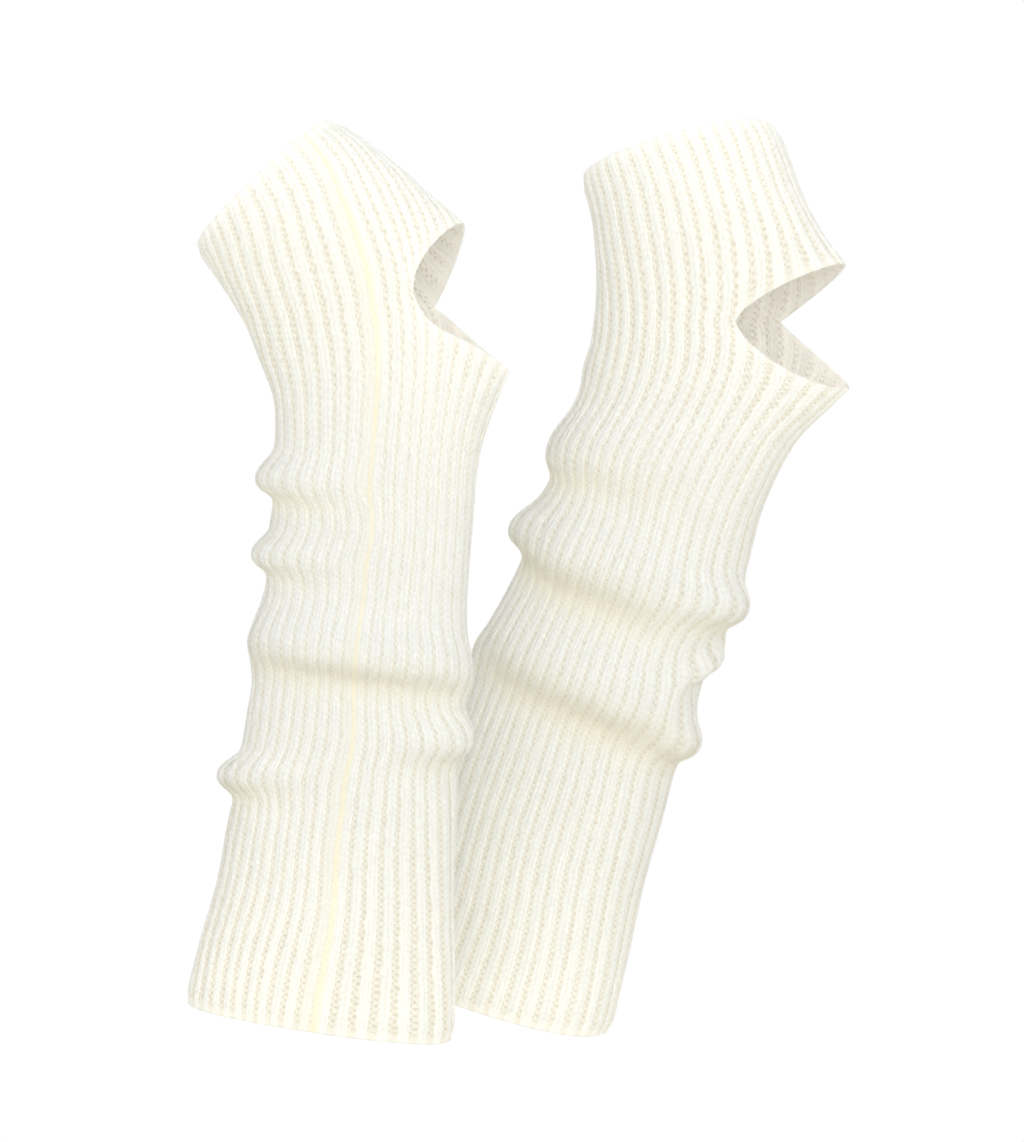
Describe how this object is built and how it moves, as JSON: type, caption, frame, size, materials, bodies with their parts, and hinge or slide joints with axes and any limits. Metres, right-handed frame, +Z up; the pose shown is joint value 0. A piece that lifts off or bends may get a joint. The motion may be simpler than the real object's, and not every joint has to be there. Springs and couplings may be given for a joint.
{
  "type": "pair of stirrup leg warmers",
  "caption": "Chunky ribbed knit leg warmers with open heel slits and open toes, filled out as worn with the feet raised.",
  "frame": {"origin": "centre of the left warmer's calf hollow, where the wearer's leg carries it", "axes": "+Z up, from the cuffs to the feet; +X from the toes to the heels, to the right in the picture; +Y away from the viewer, from the left warmer to the right one"},
  "size_m": [0.379, 0.1808, 0.5254],
  "materials": {
    "left_leg_rib_knit": "matte, soft, slightly fuzzy cream rib knit",
    "left_foot_rib_knit": "matte, soft, slightly fuzzy cream rib knit",
    "right_leg_rib_knit": "matte, soft, slightly fuzzy cream rib knit",
    "right_foot_rib_knit": "matte, soft, slightly fuzzy cream rib knit"
  },
  "bodies": {
    "root": {"left_leg": "left_leg_rib_knit", "left_foot": "left_foot_rib_knit", "right_leg": "right_leg_rib_knit", "right_foot": "right_foot_rib_knit"}
  },
  "joints": []
}
